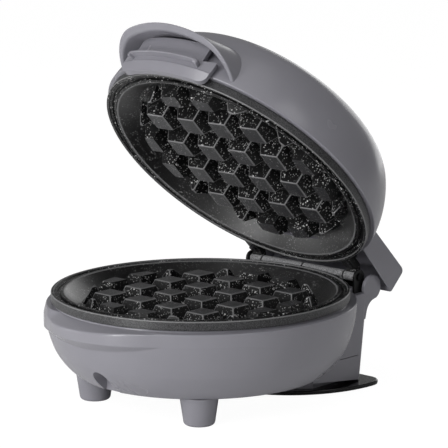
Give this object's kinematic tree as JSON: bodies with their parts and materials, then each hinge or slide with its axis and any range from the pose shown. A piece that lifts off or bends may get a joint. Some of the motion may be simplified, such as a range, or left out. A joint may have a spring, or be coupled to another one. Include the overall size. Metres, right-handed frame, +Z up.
{
  "type": "mini waffle maker",
  "caption": "Small round countertop waffle maker with a hinged domed lid, square-grid cooking plates, hooded front handle and rear cord wrap.",
  "frame": {"origin": "middle of the footprint of the whole part at rest, on the worktop", "axes": "+X to the right seen from the handle, along the hinge; +Y from the handle to the hinge; +Z up"},
  "size_m": [0.1296, 0.1554, 0.1586],
  "materials": {
    "housing": "satin moulded grey",
    "cover": "fine moulded grain",
    "flange": "gloss black",
    "rubber": "matt",
    "inner_plastic": "natural",
    "plate": "speckled non-stick coat",
    "heater": "dull sheathed element",
    "sheet": "rolled sheet",
    "steel": "plated",
    "bracket": "black coated sheet",
    "screw": "plated"
  },
  "bodies": {
    "base": {"lower_housing": "housing", "bottom_cover": "cover", "front_foot_left": "housing", "front_foot_right": "housing", "foot_screws": "screw", "cord_wrap_core": "housing", "cord_wrap_flange": "flange", "flange_screws": "screw", "cord_bush": "rubber", "cord_clamp": "inner_plastic", "terminal_block": "inner_plastic", "thermostat": "steel", "thermal_fuse": "steel", "lower_plate": "plate", "lower_heater": "heater", "lower_reflector": "sheet", "lower_plate_screws": "screw", "hinge_pin": "steel", "hinge_bracket": "bracket", "bracket_screws": "screw"},
    "lid": {"upper_plate": "plate", "arm_screws": "screw", "upper_heater": "heater", "upper_reflector": "sheet", "upper_reflector_screws": "screw", "lid_housing": "housing", "handle_hood": "housing", "handle_apron": "housing", "handle_screws": "screw"}
  },
  "joints": [
    {"name": "lid_hinge", "type": "hinge", "parent": "base", "child": "lid", "pos_m": [0, 0.05479, 0.045], "axis": [-1, 0, 0], "range_deg": [-46, 49]}
  ]
}
